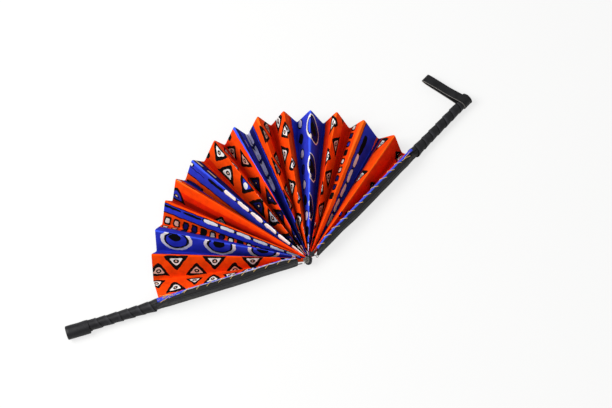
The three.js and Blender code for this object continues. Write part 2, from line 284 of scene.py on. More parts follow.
eyeRing = {0: None, 0.66: "black", 0.8: "white"}
thickRing = {0: None, 0.76: "black", 0.83: "white"}
longRing = {0: "black", 0.46: "darkBlue", 0.82: "black", 0.9: "white"}
blueTriangle = {0: "cream", 0.2: "black", 0.34: None, 0.64: "black"}
windowFills = "white pink darkBlue darkBlue black grey darkBlue white black"
leaningFills = "white darkBlue blue black white pink darkBlue darkBlue black"
dotFills = "lilac black lilac darkBlue lilac black"
# one face for each panel, from left to right
printFaces = [
    face(
        {0: "orange"},
        triangles(43, 2.5, 1, pitch=41, across=19, along=10),
        triangles(60, 21, -1, pitch=43, across=24, along=12, drift=0.23),
    ),
    face(
        {0: "orange"},
        triangles(8.8, 25.3, 1, across=24.5, along=13.2, drift=0.025),
        triangles(24, 6, -1, "pink", drift=0.025),
        shade=0.2,
    ),
    face({0: "orange", 5: "black", 6.5: "blue"}, windows(14, 8, 16, 3, 6, "darkBlue black")),
    face(
        {0: "blueRidgeHighlight", 2: "blue"},
        windows(12.9, 22.3, 47.2, 17.4, 17.2, None, "round", drift=0.1, rings=eyeRing),
        windows(7.4, 21, 47.2, 6.6, 6.4, "black", "round", drift=0.06),
    ),
    face(
        {0: "blue", 20: "black", 21.5: "orange"},
        windows(29, 5.6, 10.3, 6.4, 3.5, windowFills, line=0.62, drift=0.07),
    ),
    face(
        {0: "orange", 1.5: "black", 2.7: "blue", 15.4: "black", 17.3: "orange"},
        windows(6.2, 8.5, 24, 2.1, 10.4, "black", last=1),
        windows(6, 53.1, 19, 3.1, 9.5, "white", line=0.84, drift=0.004, first=0),
        windows(28.9, 5.6, 10.3, 6.8, 3.9, windowFills, line=0.58, drift=0.075),
        shade=0.22,
    ),
    face({0: "orange", 10: "red"}, triangles(26, 60, -1, "grey", single)),
    face(
        {0: "orangeRidgeHighlight", 2.4: "orange", 15.5: "red", 25: "deepShadedOrange"},
        triangles(24.3, 3.5, -1, "blue", single, 23.5, 12.8, rings=blueTriangle, dot=None),
        triangles(25.6, 60, -1, "grey", single, 19, 10.4, dot="grey"),
        drift=0.085,
    ),
    face(
        {0: "orange", 12: "red", 20: "black", 21.5: "blue"},
        windows(2, 4, single, 1.6, 3.6, "white"),
        windows(2.8, 17.5, single, 1.9, 6, "black"),
    ),
    face(
        {0: "blueRidgeHighlight", 3: "blue", 21.2: "black", 22.8: "orange"},
        windows(9.6, 10, single, 0.7, 11, "black"),
        windows(34, 13, single, 2.6, 11, "darkBlue", drift=0.17),
        windows(5, -1.5, single, 3.2, 6.4, "white"),
        windows(6.6, 36, single, 2.7, 10.5, "black"),
        windows(4.6, 55.6, 19, 3.5, 9.4, "white", line=0.84, drift=0.016, first=0),
        drift=0.035,
        shade=0.32,
    ),
    # its dark blue band is painted shade
    face(
        {0: "blueRidgeHighlight", 1.6: "darkBlue", 25: "black", 26.5: "orange"},
        windows(9.5, 4.5, 19, 3, 7.6, "cream", line=0.8, last=1),
        drift=0.13,
    ),
    face(
        {0: "orange", 27: "red"},
        triangles(6, 12.5, 1, "white blue grey", 46.5, 26, 13.4),
        triangles(21.8, 32.4, -1, "white darkBlue darkBlue", 51.5, 26, 14, drift=0.11),
        windows(7, 59, single, 5, 2.8, "white", "round", line=1),
        windows(25.5, -2, single, 5, 5.4, "black"),
    ),
    face(
        {0: "orange", 14: "red"},
        triangles(2, 36, 1, "grey pink", 44, 18, 10),
        triangles(19, 14, -1, "grey", 44, 20, 11),
    ),
    face(
        {0: "blueRidgeHighlight", 3.2: "orange", 27: "red"},
        triangles(21.5, 33, 1, "pink darkBlue darkBlue", 52, 20.5, 13.2, drift=0.145),
        triangles(34, 13, -1, "pink darkBlue darkBlue", 47, 21, 13, drift=0.235),
        windows(19, -2, single, 5.4, 6, "black"),
        drift=0.045,
    ),
    # its dark blue bands are painted shade
    face(
        {0: "blueRidgeHighlight", 1.6: "darkBlue", 12: "blue", 27.5: "black", 29: "darkBlue"},
        windows(14, 17, single, 1.8, 6, "grey"),
        windows(33, 8, 20, 3.4, 9, "lilac", line=0.88, drift=0.155, last=3),
        drift=0.15,
        shade=0,
    ),
    # its dark blue band is painted shade
    face(
        {0: "orangeRidgeHighlight", 5: "orange", 15.4: "black", 17: "blue", 19: "darkBlue"},
        triangles(-3.6, 20, -1, "pink", 38, 18, 11.4),
        windows(32.6, 6.5, 20, 3, 9.3, "lilac", line=0.88, drift=0.155, last=3),
        drift=0.145,
        shade=0.1,
    ),
    face(
        {0: "orange", 20: "red"},
        triangles(4.5, 21, 1, "pink grey", 40, 18, 10.6),
        triangles(21.5, 7, -1, "pink", 38.5, 19, 11.6, drift=0.1),
    ),
    face(
        {0: "orange", 22: "red"},
        triangles(7.6, 22, 1, "white", 40, 19, 11.2, drift=0.15),
        triangles(17.3, 4, -1, "white", 38.7, 21.6, 12.8, drift=0.08),
    ),
    face({0: "orange", 11: "red", 18.4: "black", 20: "blue"}, triangles(1.5, 20, 1, "white", 38, 15, 9.6)),
    face(
        {0: "blueRidgeHighlight", 3: "blue"},
        windows(-7.6, 18, 44, 18.5, 15.6, None, "round", drift=0.1, rings=thickRing),
        windows(29.4, 5.6, 18.4, 6.8, 6.3, dotFills, "round", drift=0.18),
        shade=0.12,
    ),
    face(
        {0: "blueRidgeHighlight", 2.5: "blue"},
        windows(9.5, 18.5, 44, 17, 14.6, None, "round", drift=0.11, lean=-0.3, rings=longRing),
        windows(0.6, 29, 44, 2.6, 2.6, "white", "round", line=1),
    ),
    face(
        {0: "orangeRidgeHighlight", 5: "orange", 15: "red", 30: "black", 31.5: "blue"},
        triangles(6, 11, -1, "white", 39, 21, 12.4, drift=0.11),
        drift=0.17,
    ),
    face(
        {0: "orange", 20: "red"},
        triangles(-4.2, 12, 1, "white", 38.5, 20, 12),
        triangles(13.6, 31, -1, "pink", 38, 19.6, 12.2, drift=0.04),
    ),
    face(
        {0: "orangeRidgeHighlight", 9: "orange", 27: "red"},
        windows(23.6, 3, 10.9, 6.6, 4.1, leaningFills, line=0.58, drift=0.195, last=8, lean=0.25),
        drift=0.18,
    ),
    face(
        {0: "orangeRidgeHighlight", 4.4: "black", 6: "blue", 34.6: "orange"},
        windows(16.6, 21.5, single, 4.2, 11.4, "black"),
        windows(16, 40.7, 18.2, 3.7, 8.9, "white", line=0.84, drift=0.015, first=0, last=4),
        drift=-0.03,
    ),
    # its dark blue band is painted shade
    face(
        {0: "orange", 26: "red", 30: "darkBlue"},
        triangles(20.2, 9, -1, "white", 45, 21, 11.5, 0.5, drift=0.13, dot="white", lean=0.35, last=1),
        drift=0.16,
    ),
    face(
        {0: "orangeRidgeHighlight", 1.8: "red"},
        triangles(31, 6.5, -1, "white", 46, 12, 6, 0.3, drift=0.13),
        windows(1.5, 105, single, 5, 3.4, "blue", "round", line=0.6),
    ),
    face({0: "red"}, triangles(46, 8, -1, "white", 46, 22, 9, drift=0.13)),
]


def motifRow(tree, u, v, row, ground):
    # a row of motifs along the ridge, painted over the ground colour
    pitch, across, along = row["pitch"], row["across"], row["along"]
    nearing = addNode(tree, "Math", {0: v, 1: row["drift"], 2: u}, operation="MULTIPLY_ADD")
    count = addNode(tree, "Math", {0: v, 1: 1 / pitch, 2: -row["phase"] / pitch}, operation="MULTIPLY_ADD")
    cell = addNode(tree, "Math", {0: count}, operation="ROUND")
    part = addNode(tree, "Math", {0: count, 1: cell}, operation="SUBTRACT")
    scale = row["point"] / across
    x = addNode(tree, "Math", {0: nearing, 1: scale, 2: -scale * row["at"]}, operation="MULTIPLY_ADD")
    lean = addNode(tree, "Math", {0: x, 1: row["lean"] * across / along}, operation="MULTIPLY")
    y = addNode(tree, "Math", {0: part, 1: pitch / along, 2: lean}, operation="MULTIPLY_ADD")
    # reach is 0 in the middle of a motif and 1 at its outline
    if row["kind"] == "triangle":
        other = addNode(tree, "Math", {0: y, 1: -1.0}, operation="MULTIPLY")
        half = addNode(tree, "Math", {0: y, 1: other, 2: corners["point"]}, operation="SMOOTH_MAX")
        slope = addNode(tree, "Math", {0: x, 1: half}, operation="ADD")
        side = addNode(tree, "Math", {0: slope, 1: 1.5}, operation="MULTIPLY")
        base = addNode(tree, "Math", {0: x, 1: -3.0}, operation="MULTIPLY")
        reach = addNode(tree, "Math", {0: base, 1: side, 2: corners["base"]}, operation="SMOOTH_MAX")
    else:
        power = 4 if row["kind"] == "block" else 2
        sizes = [addNode(tree, "Math", {0: distance}, operation="ABSOLUTE") for distance in (x, y)]
        powers = [addNode(tree, "Math", {0: size, 1: power}, operation="POWER") for size in sizes]
        spread = addNode(tree, "Math", {0: powers[0], 1: powers[1]}, operation="ADD")
        reach = addNode(tree, "Math", {0: spread, 1: 1 / power}, operation="POWER")
    mask = addNode(tree, "Math", {0: reach, 1: 1.0}, operation="LESS_THAN")
    for end, step, test in (("first", -0.5, "GREATER_THAN"), ("last", 0.5, "LESS_THAN")):
        if row[end] is not None:
            inRow = addNode(tree, "Math", {0: cell, 1: row[end] + step}, operation=test)
            mask = addNode(tree, "Math", {0: mask, 1: inRow}, operation="MULTIPLY")
    if row["fills"]:
        colours = [linear(printColours[name]) for name in row["fills"].split()]
        total = len(colours)
        turn = addNode(tree, "Math", {0: cell, 1: 1 / total, 2: 0.5 / total}, operation="MULTIPLY_ADD")
        place = addNode(tree, "Math", {0: turn}, operation="FRACT")
        fills = addNode(tree, "ValToRGB", {0: place})
        setStops(fills, {i / total: colour for i, colour in enumerate(colours)})
        ground = addNode(tree, "Mix", {0: mask, 6: ground, 7: fills}, data_type="RGBA").outputs[2]
    rings = addNode(tree, "ValToRGB", {0: reach})
    clear = [0, 0, 0, 0]
    stops = row["rings"].items()
    setStops(rings, {at: linear(printColours[name]) if name else clear for at, name in stops})
    shown = addNode(tree, "Math", {0: mask, 1: rings.outputs[1]}, operation="MULTIPLY")
    return addNode(tree, "Mix", {0: shown, 6: ground, 7: rings}, data_type="RGBA").outputs[2]


# How much painted shade darkens the cloth down in a fold; the widths and the length are a panel's, in mm
foldShade = {"rimWidth": 36, "innerWidth": 9.5, "length": 158, "left": 0.55, "right": 0.14, "end": 0.1}


def paintedFoldShade(tree, u, v, strength):
    # painted shade: 1 at the ridge, falling towards the valley and towards the gathered end
    widths = {0: v, 2: foldShade["length"], 3: foldShade["rimWidth"], 4: foldShade["innerWidth"]}
    width = addNode(tree, "MapRange", widths)
    share = addNode(tree, "Math", {0: u, 1: width}, operation="DIVIDE")
    smooth = "SMOOTHSTEP"
    depth = addNode(tree, "MapRange", {0: share, 1: 0.3, 2: 0.9, 4: 0.6}, interpolation_type=smooth)
    inward = addNode(tree, "MapRange", {0: v, 1: 20.0, 2: 120.0}, interpolation_type=smooth)
    slope = addNode(tree, "MapRange", {0: share, 1: 0.12, 2: 0.5, 4: 0.5}, interpolation_type=smooth)
    dark = addNode(tree, "Math", {0: inward, 1: slope, 2: depth}, operation="MULTIPLY_ADD")
    return addNode(tree, "MapRange", {0: dark, 2: 1.1, 3: 1.0, 4: 1 - 1.1 * strength})


cotton = {
    "wander": 2.6,  # mm of play in the dye's edges, over about 8 mm
    "wanderScale": 0.13,
    "dyeScale": 0.12,
    # the painted highlight along each ridge, partly rubbed wear: its width in mm and its gain
    "highlightWidth": 1.6,
    "highlightGain": 1.3,
    "weaveScale": 0.42,  # threads 0.75 mm apart, about twice as coarse as real ones, so that they show
}


def printedCotton(name, index, plan):
    # Wax-printed plain-weave cotton: matt and bright, with dye edges that wander, ridges rubbed paler with
    # a painted highlight, painted shade down in the folds and a faint weave
    material, tree, shader = newMaterial(name)
    place = addNode(tree, "UVMap", uv_map="print")
    flat = {"noise_dimensions": "2D"}
    texture = {"Vector": place, "Scale": cotton["wanderScale"], "Detail": 1.5, "Roughness": 0.45}
    wander = addNode(tree, "TexNoise", texture, **flat)
    middle, play = (0.5, 0.5, 0.5), (cotton["wander"], cotton["wander"], 0.0)
    shift = addNode(tree, "VectorMath", {0: wander.outputs[1], 1: middle}, operation="SUBTRACT")
    moved = addNode(tree, "VectorMath", {0: shift, 1: play, 2: place}, operation="MULTIPLY_ADD")
    u, v = addNode(tree, "SeparateXYZ", {0: moved}).outputs[:2]
    nearing = addNode(tree, "Math", {0: v, 1: plan["drift"], 2: u}, operation="MULTIPLY_ADD")
    across = addNode(tree, "Math", {0: nearing, 1: printWidth}, operation="DIVIDE")
    bands = addNode(tree, "ValToRGB", {0: across})
    setStops(bands, {start / printWidth: linear(printColours[c]) for start, c in plan["bands"].items()})
    colour = bands.outputs[0]
    for row in plan["rows"]:
        colour = motifRow(tree, u, v, row, colour)
        if row["dot"]:
            colour = motifRow(tree, u, v, dotIn(row), colour)
    dye = addNode(tree, "TexNoise", {"Vector": place, "Scale": cotton["dyeScale"], "Detail": 5.0}, **flat)
    shade = addNode(tree, "MapRange", {0: dye, 1: 0.3, 2: 0.7, 3: 0.84, 4: 1.08})
    # ridges rubbed paler, with a painted highlight that is brightest at the ridge
    plain = addNode(tree, "SeparateXYZ", {0: place})
    atRidge = {0: plain, 1: 0.0, 2: cotton["highlightWidth"], 3: cotton["highlightGain"], 4: 1.0}
    wearAndPaintedLight = addNode(tree, "MapRange", atRidge)
    wearAndHighlight = addNode(tree, "Math", {0: shade, 1: wearAndPaintedLight}, operation="MULTIPLY")
    # how much painted shade this panel takes down in its fold
    kind = "end" if index in (0, panelCount - 1) else "left" if index % 2 else "right"
    strength = foldShade[kind] if plan["shade"] is None else plan["shade"]
    paintedShade = paintedFoldShade(tree, plain.outputs[0], plain.outputs[1], strength)
    tone = addNode(tree, "Math", {0: wearAndHighlight, 1: paintedShade}, operation="MULTIPLY")
    colourWithPaintedLight = addNode(tree, "Mix", {0: 1.0, 6: colour, 7: tone}, data_type="RGBA", blend_type="MULTIPLY")
    waves = {"Vector": place, "Scale": cotton["weaveScale"]}
    warp, weft = (addNode(tree, "TexWave", waves, bands_direction=way).outputs[1] for way in "XY")
    weave = addNode(tree, "Math", {0: warp, 1: weft}, operation="MULTIPLY")
    bump = addNode(tree, "Bump", {"Strength": 0.35, "Distance": 0.00012, "Height": weave})
    connect(shader, {"Base Color": colourWithPaintedLight.outputs[2], "Normal": bump})
    connect(shader, {"Roughness": 0.9, "Specular IOR Level": 0.06})
    return material


def leafNormal(across, share):
    step = 0.004
    low, high = max(0, across - step), min(panelCount, across + step)
    inner, outer = max(0, share - step), min(1, share + step)
    width = leafPoint(high, share) - leafPoint(low, share)
    length = leafPoint(across, outer) - leafPoint(across, inner)
    normal = width.cross(length).normalized()
    return normal if normal.z > 0 else -normal


def panelWidth(ridge, across, share):
    # mm of cloth between a ridge and a point of the leaf
    total, here = 0, leafPoint(ridge, share)
    steps = max(1, round(abs(across - ridge) * 16))
    for i in range(1, steps + 1):
        there = leafPoint(ridge + (across - ridge) * i / steps, share)
        total += (there - here).length
        here = there
    return total


def nearestRidge(index, across):
    # the end sections have one ridge, the others one on either side
    if index == 0:
        return 2
    if index == pleatCount:
        return 2 * pleatCount
    return 2 * index if across <= 2 * index + 1 else 2 * index + 2


def clothVerts(bm, columns, rows):
    # two layers of a grid: each vertex with its column, its row and 1 in the lower layer
    for under in (0, 1):
        made = bmesh.ops.create_grid(bm, x_segments=columns, y_segments=rows, size=1)["verts"]
        for vert in made:
            yield vert, round((vert.co.x + 1) / 2 * columns), round((vert.co.y + 1) / 2 * rows), under


def closeCloth(bm, uvLayer, place):
    bmesh.ops.bridge_loops(bm, edges=[edge for edge in bm.edges if edge.is_boundary])
    for loop in (loop for polygon in bm.faces for loop in polygon.loops):
        loop[uvLayer].uv = place[loop.vert]


def leafSection(index):
    # two panels between neighbouring ridges, or between a stick and the first ridge
    first = 2 * index
    stops = leaf["acrossStops"]
    columns = [first + stop for stop in stops] + [first + 1 + stop for stop in stops[1:]]
    rows = leaf["alongSteps"]
    bm = bmesh.new()
    acrossLayer = bm.verts.layers.float.new("across")
    uvLayer = bm.loops.layers.uv.new("print")
    place = {}
    for vert, column, row, under in clothVerts(bm, len(columns) - 1, rows):
        across, share = columns[column], row / rows
        point = leafPoint(across, share)
        if under:
            point -= leafNormal(across, share) * leaf["thickness"] * (0.5 + 0.5 * share)
        vert[acrossLayer] = across
        fromRim = (1 - share) * (leaf["rimRadius"] - leaf["gatherRadius"])
        place[vert] = (panelWidth(nearestRidge(index, across), across, share), fromRim)
        vert.co = point * mm
    closeCloth(bm, uvLayer, place)
    bmesh.ops.recalc_face_normals(bm, faces=bm.faces[:])
    for polygon in bm.faces:
        middle = sum(vert[acrossLayer] for vert in polygon.verts) / len(polygon.verts)
        polygon.material_index = 0 if middle < first + 1 else 1
    piece = newPiece("leaf_fold_%02d" % index, bm, printMaterials[first : first + 2])
    piece.data.set_sharp_from_angle(angle=math.radians(50))
    return piece


printMaterials = [printedCotton("wax_print_cotton_%02d" % i, i, plan) for i, plan in enumerate(printFaces)]
print("print made:", len(printMaterials), "faces")

# where the crease lies across each section
creaseShares = [0.5] * (pleatCount + 1)
creaseShares[0] = 1 - sides["left"]["creaseAngle"] / sides["left"]["endAngle"]
creaseShares[-1] = sides["right"]["creaseAngle"] / sides["right"]["endAngle"]
for index, creaseShare in enumerate(creaseShares):
    piece = leafSection(index)
    start, end = (leafPoint(2 * index, 0.9) * mm, leafPoint(2 * index + 2, 0.9) * mm)
    tuple(start)
    tuple(end)
    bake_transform(piece)
    if index == 0:
        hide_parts("left_end_panel", "pleat_01")
    elif index == pleatCount:
        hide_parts("right_end_panel")
    else:
        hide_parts("pleat_%02d" % (index + 1))
print("leaf made:", len(creaseShares), "folds")


# Materials of the leather, the thread and the wood. Scales of textures in object space are per metre.
leather = {"pebble": 1.1, "toneScale": 90.0, "lighter": 1.9, "sheen": 0.28}  # the pebbles are 1.1 mm wide


def leatherMaterial(name, colour, roughness, wound=False):
    # Vegetable-tanned goatskin dyed black: a fine pebbled grain, a low sheen and paler worn high spots.
    # A wound strip gets wear and a painted highlight on its open edge, and a painted shadow under the next
    # turn.
    material, tree, shader = newMaterial(name)
    place = addNode(tree, "TexCoord").outputs["Object"]
    grain = {"Vector": place, "Scale": 1 / (leather["pebble"] * mm)}
    pebble = addNode(tree, "TexVoronoi", grain, feature="SMOOTH_F1")
    tone = addNode(tree, "TexNoise", {"Vector": place, "Scale": leather["toneScale"], "Detail": 5.0})
    ramp = addNode(tree, "ValToRGB", {0: tone})
    dark, light = ramp.color_ramp.elements
    dark.position, light.position = 0.35, 0.75
    dark.color = linear(colour)
    light.color = [min(1, c * leather["lighter"] + 0.003) for c in linear(colour)[:3]] + [1]
    shown = ramp.outputs[0]
    if wound:
        strip = addNode(tree, "Attribute", attribute_name="strip").outputs["Fac"]
        # paler along the open edge as wear and a painted highlight; a painted shadow where the next turn
        # lies on it
        wearAndHighlight = addNode(tree, "MapRange", {0: strip, 1: 0.02, 2: 0.3, 3: 2.6, 4: 1.0})
        shadowLine = addNode(tree, "MapRange", {0: strip, 1: 0.8, 2: 0.96, 3: 1.0, 4: 0.12})
        wearAndPaintedLight = addNode(tree, "Math", {0: wearAndHighlight, 1: shadowLine}, operation="MULTIPLY")
        mixed = addNode(tree, "Mix", {0: 1.0, 6: shown, 7: wearAndPaintedLight}, data_type="RGBA", blend_type="MULTIPLY")
        shown = mixed.outputs[2]
    gloss = addNode(tree, "MapRange", {0: tone, 1: 0.3, 2: 0.7, 3: roughness - 0.08, 4: roughness + 0.12})
    bump = addNode(tree, "Bump", {"Strength": 0.4, "Distance": 0.0001, "Height": pebble})
    connect(shader, {"Base Color": shown, "Roughness": gloss, "Normal": bump})
    connect(shader, {"Specular IOR Level": leather["sheen"]})
    return material


def colourBetween(tree, shader, value, dark, light, roughness):
    mixed = addNode(tree, "Mix", {0: value, 6: linear(dark), 7: linear(light)}, data_type="RGBA")
    connect(shader, {"Base Color": mixed.outputs[2], "Roughness": roughness})


def texturedMaterial(name, dark, light, roughness, texture, values, output=0, **settings):
    # one texture in object space that plays between two colours
    material, tree, shader = newMaterial(name)
    place = addNode(tree, "TexCoord").outputs["Object"]
    pattern = addNode(tree, texture, {"Vector": place} | values, **settings)
    colourBetween(tree, shader, pattern.outputs[output], dark, light, roughness)
    return material


def threadMaterial(name, dark, light):
    # Twisted cotton thread: matt, with slanted plies that catch the light
    material, tree, shader = newMaterial(name)
    place = addNode(tree, "UVMap", uv_map="thread")
    length, around = addNode(tree, "SeparateXYZ", {0: place}).outputs[:2]
    slant = addNode(tree, "Math", {0: length, 1: 5.5, 2: around}, operation="MULTIPLY_ADD")
    ply = addNode(tree, "Math", {0: slant}, operation="SINE")
    level = addNode(tree, "MapRange", {0: ply, 1: -1.0, 2: 1.0})
    colourBetween(tree, shader, level, dark, light, 0.8)
    bump = addNode(tree, "Bump", {"Strength": 0.6, "Distance": 0.0002, "Height": level})
    connect(shader, {"Normal": bump})
    return material


def hemMaterial(name, stops):
    # The leaf's own blue, brighter towards the turned edge, in blotches some mm long
    material, tree, shader = newMaterial(name)
    place = addNode(tree, "UVMap", uv_map="print")
    across, along = addNode(tree, "SeparateXYZ", {0: place}).outputs[:2]
    blotch = addNode(tree, "TexNoise", {"W": along, "Scale": 0.16, "Detail": 3.0}, noise_dimensions="1D")
    edge = addNode(tree, "Math", {0: blotch, 1: 0.7, 2: across}, operation="MULTIPLY_ADD")
    ramp = addNode(tree, "ValToRGB", {0: edge})
    setStops(ramp, {position: linear(colour) for position, colour in stops.items()})
    connect(shader, {"Base Color": ramp, "Roughness": 0.8})
    return material


coverLeather = leatherMaterial("black_goatskin_cover", "0F0F11", 0.5)
cutLeather = leatherMaterial("black_goatskin_cut_edge", "34343A", 0.7)
wrapLeather = leatherMaterial("black_goatskin_end", "121215", 0.48)
loopLeather = leatherMaterial("black_goatskin_strap", "101012", 0.45)
stripLeather = leatherMaterial("black_goatskin_wound_strip", "131316", 0.5, wound=True)
darkThread = threadMaterial("black_waxed_cotton_thread", "121215", "3E3E44")
greyThread = threadMaterial("grey_waxed_cotton_thread", "2C2B29", "8E8981")
paleThread = threadMaterial("pale_yellow_cotton_thread", "D9983A", "F7DF94")
yellowYarn = threadMaterial("yellow_cotton_yarn", "D98F2E", "F6D98A")
hemBlues = {0: "2F45DE", 0.75: "3F5CF2"}
hemCloth = {
    "left": hemMaterial("blue_hem_cotton_left", hemBlues | {1: "E4DEEC"}),  # this edge is worn white
    "right": hemMaterial("blue_hem_cotton_right", hemBlues),
}
# Cut edge of the strap: fibrous grey that isn't dyed through
fibres = {"Scale": 900.0, "Detail": 3.0}
rawEdge = texturedMaterial("raw_cut_leather_edge", "4C4948", "B5AFA8", 0.9, "TexNoise", fibres)
# Plain sawn softwood of the sticks, all inside the leather: long grain in a pale brown
grain = {"Scale": 260.0, "Detail": 6.0, "Distortion": 1.2}
stickWood = texturedMaterial("sawn_softwood", "7E5A34", "B98E5C", 0.7, "TexNoise", grain)
# Waxed cotton lacing through the guards: twisted dark grey plies, about 0.6 mm apart
plies = {"texture": "TexWave", "values": {"Scale": 480.0}, "output": 1, "bands_direction": "DIAGONAL"}
laceThread = texturedMaterial("grey_waxed_cotton_lacing", "26262A", "5C5C62", 0.8, **plies)
for node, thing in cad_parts.items():
    for slot in thing.material_slots:
        if node.endswith("_stick"):
            slot.material = stickWood
        elif node.endswith("lacing_thread"):
            slot.material = laceThread


def rigidPiece(name, bm, turned, materials, body, nodes):
    # made in mm, then turned and brought to metres
    bmesh.ops.transform(bm, matrix=Matrix.Scale(mm, 4) @ turned, verts=bm.verts)
    bmesh.ops.recalc_face_normals(bm, faces=bm.faces[:])
    piece = newPiece(name, bm, materials)
    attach(piece, body)
    if nodes:
        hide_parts(*nodes)
    return piece


def stickPiece(name, bm, sideName, materials, slot, *nodes, body=None):
    # made in mm along a stick, outward from the leaf and up, then set into the fan's own frame
    side = sides[sideName]
    turned = Matrix.Rotation(stickAngle(side), 4, "Z") @ Matrix.Diagonal((1, side["turn"], 1, 1))
    piece = rigidPiece(name, bm, turned, materials, body or sideName + "_guard", nodes)
    piece.data.set_sharp_from_angle(angle=math.radians(48))


def pivotPiece(name, bm, material, *nodes):
    # thread at the pivot goes with the middle pleat
    rigidPiece(name, bm, Matrix.Identity(4), [material], "pleat_07", nodes)


def smoothRoute(points, steps, closed=False):
    # Catmull-Rom curve through the points
    points = [Vector(point) for point in points]
    count = len(points)
    route = []
    for i in range(count if closed else count - 1):
        if closed:
            a, b, c, d = (points[(i + k) % count] for k in (-1, 0, 1, 2))
        else:
            a, b = points[max(i - 1, 0)], points[i]
            c, d = points[i + 1], points[min(i + 2, count - 1)]
        for k in range(steps):
            t = k / steps
            bend = (a * -1 + b * 3 - c * 3 + d) * t**3 + (a * 2 - b * 5 + c * 4 - d) * t**2
            route.append((bend + (c - a) * t + b * 2) * 0.5)
    return route if closed else route + [points[-1]]


def addBox(bm, low, high):
    low, high = Vector(low), Vector(high)
    made = bmesh.ops.create_cube(bm, size=1)["verts"]
    place = Matrix.Translation((low + high) / 2) @ Matrix.Diagonal((*(high - low), 1))
    bmesh.ops.transform(bm, matrix=place, verts=made)
    return made


def roundEdges(bm, edges, offset, segments):
    shape = {"offset": offset, "segments": segments, "profile": 0.5}
    bmesh.ops.bevel(bm, geom=edges, affect="EDGES", material=-1, **shape)


def ringEdges(ring):
    return [edge for edge in {e for v in ring for e in v.link_edges} if all(v in ring for v in edge.verts)]


def extrudeRing(bm, ring):
    # the new ring of vertices and the faces behind it
    made = bmesh.ops.extrude_edge_only(bm, edges=ringEdges(ring))["geom"]
    fresh = [item for item in made if isinstance(item, bmesh.types.BMVert)]
    return fresh, [item for item in made if isinstance(item, bmesh.types.BMFace)]


def spinProfile(bm, points, centre, axis, steps):
    # a line of points turned full circle
    verts = [bm.verts.new(point) for point in points]
    edges = [bm.edges.new(pair) for pair in zip(verts, verts[1:])]
    turn = {"cent": centre, "axis": axis, "dvec": (0, 0, 0), "angle": 2 * math.pi, "steps": steps}
    bmesh.ops.spin(bm, geom=verts + edges, use_merge=True, use_duplicate=False, **turn)
    bmesh.ops.remove_doubles(bm, verts=bm.verts, dist=0.0005)


def sweepThread(bm, route, radius, around=6):
    # a thread of round section extruded ring by ring along its route
    uvLayer = bm.loops.layers.uv.get("thread") or bm.loops.layers.uv.new("thread")
    first = bmesh.ops.create_circle(bm, segments=around, radius=radius, cap_ends=False)["verts"]
    direction = (route[1] - route[0]).normalized()
    turn = Vector((0, 0, 1)).rotation_difference(direction).to_matrix().to_4x4()
    bmesh.ops.transform(bm, matrix=Matrix.Translation(route[0]) @ turn, verts=first)
    ring, travelled = first, 0
    for i in range(1, len(route)):
        ring, walls = extrudeRing(bm, ring)
        ahead = route[min(i + 1, len(route) - 1)] - route[i - 1]
        bend = direction.rotation_difference(ahead.normalized()).to_matrix().to_4x4()
        direction = ahead.normalized()
        move = Matrix.Translation(route[i]) @ bend @ Matrix.Translation(-route[i - 1])
        bmesh.ops.transform(bm, matrix=move, verts=ring)
        length = travelled + (route[i] - route[i - 1]).length
        for loop in (loop for wall in walls for loop in wall.loops):
            across = (loop.vert.co - route[i]).cross(direction).dot(Vector((0.3, 0.2, 0.9)))
            loop[uvLayer].uv = (length if loop.vert in ring else travelled, across / radius)
        travelled = length
    for end in (first, ring):
        bmesh.ops.edgeloop_fill(bm, edges=ringEdges(end))


# Guards: leather folded round a slat, its two edges glued over each other along the outer face
guardCover = {
    "end": 158,
    "neck": 169.7,
    "neckLow": 1.5,
    "neckHigh": 12.9,
    "noseRounding": 2.4,
    "edgeRounding": 1.0,
    "flapAlong": (17, 157),
    "flapUp": (3.2, 16.4),
    "flapLift": 0.6,
    "flapRounding": 0.2,
    "proud": 1.1,  # the leather stands out, growing from one place along it to the other
    "proudAlong": (50, 72),
    "dent": 0.28,
    "dentScale": 0.09,
    "fineScale": 0.3,
    "fineShare": 0.4,
    "cuts": 34,
}


